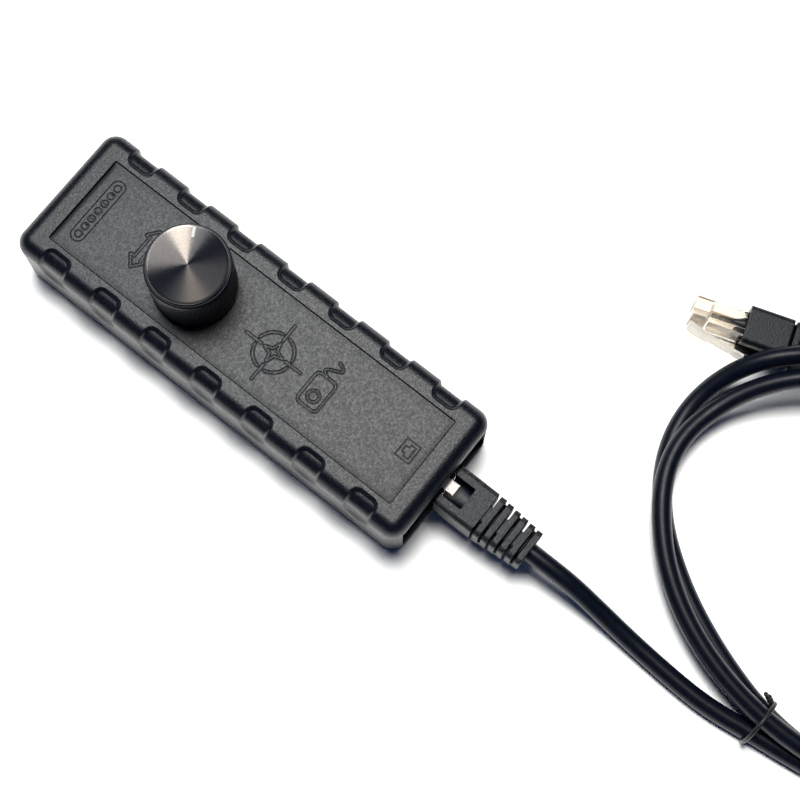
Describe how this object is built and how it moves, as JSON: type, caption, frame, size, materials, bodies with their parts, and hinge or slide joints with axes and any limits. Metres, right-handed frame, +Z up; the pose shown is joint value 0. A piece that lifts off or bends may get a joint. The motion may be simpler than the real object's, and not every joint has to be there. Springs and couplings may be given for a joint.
{
  "type": "hand controller",
  "caption": "Slim hand controller for a telescope focuser: a black plastic box with scalloped grip edges, a turning and pressing knob, and a coiled plug-in lead.",
  "frame": {"origin": "bottom centre of the case, on the surface that it lies on", "axes": "+Z up out of the label plate, +Y towards the knob end, -Y towards the socket end"},
  "size_m": [0.1343, 0.3205, 0.0431],
  "materials": {
    "case_plastic": "fine spark-eroded grain",
    "plate_plastic": "fine grain with sunk pictograms",
    "screw_steel": "black zinc plated",
    "circuit_board": "green solder mask",
    "chip_black": "moulded",
    "component_tan": "ceramic",
    "header_black": "moulded",
    "contact_gold": "gold flashed",
    "encoder_case": "satin",
    "bright_steel": "plated",
    "rotor_plastic": "moulded",
    "knob_anodised": "black anodised, fine straight knurl",
    "knob_spun": "black anodised, spun face",
    "index_white": "bright",
    "jack_black": "moulded",
    "clear_plastic": "clear polycarbonate",
    "wire_colours": "insulated wires",
    "boot_rubber": "soft moulded vinyl",
    "cord_jacket": "smooth vinyl jacket",
    "tie_plastic": "plastic coated wire"
  },
  "bodies": {
    "controller": {"case_top": "case_plastic", "case_bottom": "case_plastic", "end_panel": "case_plastic", "label_plate": "plate_plastic", "case_screws": "screw_steel", "circuit_board": "circuit_board", "board_screws": "screw_steel", "controller_chip": "chip_black", "board_components": "component_tan", "board_headers": "header_black", "header_pins": "contact_gold", "encoder_board": "circuit_board", "encoder_housing": "encoder_case", "encoder_bushing": "bright_steel", "encoder_washer": "bright_steel", "encoder_nut": "bright_steel", "encoder_pins": "contact_gold", "switch_dome": "bright_steel", "jack_housing": "jack_black", "jack_contacts": "contact_gold"},
    "rotor": {"encoder_rotor": "rotor_plastic"},
    "knob": {"encoder_shaft": "bright_steel", "knob_body": "knob_anodised", "knob_cap": "knob_spun", "knob_index_line": "index_white", "knob_set_screw": "screw_steel"},
    "lead": {"near_plug": "clear_plastic", "near_plug_contacts": "contact_gold", "near_plug_wires": "wire_colours", "near_jacket_end": "cord_jacket", "near_boot": "boot_rubber", "lead_run": "cord_jacket", "lead_coil": "cord_jacket", "twist_tie": "tie_plastic", "far_plug": "clear_plastic", "far_plug_contacts": "contact_gold", "far_plug_wires": "wire_colours", "far_jacket_end": "cord_jacket", "far_boot": "boot_rubber"},
    "near_latch": {"near_latch": "clear_plastic"},
    "far_latch": {"far_latch": "clear_plastic"}
  },
  "joints": [
    {"name": "knob_turn", "type": "hinge", "parent": "controller", "child": "rotor", "pos_m": [0, 0.019, 0], "axis": [0, 0, 1], "continuous": true},
    {"name": "knob_press", "type": "slide", "parent": "rotor", "child": "knob", "axis": [0, 0, -1], "range_m": [0, 0.0005], "stiffness_N_per_m": 4000},
    {"name": "lead_pull", "type": "slide", "parent": "controller", "child": "lead", "axis": [0, -1, 0], "range_m": [0, 0.03]},
    {"name": "near_latch_flex", "type": "hinge", "parent": "lead", "child": "near_latch", "pos_m": [0.0008, -0.0527, 0.0148], "axis": [1, 0, 0], "range_deg": [0, 5], "stiffness_Nm_per_rad": 0.02},
    {"name": "far_latch_flex", "type": "hinge", "parent": "lead", "child": "far_latch", "pos_m": [0.07976, -0.09116, 0.00665], "axis": [0, 0, 1], "range_deg": [0, 14], "stiffness_Nm_per_rad": 0.02}
  ]
}
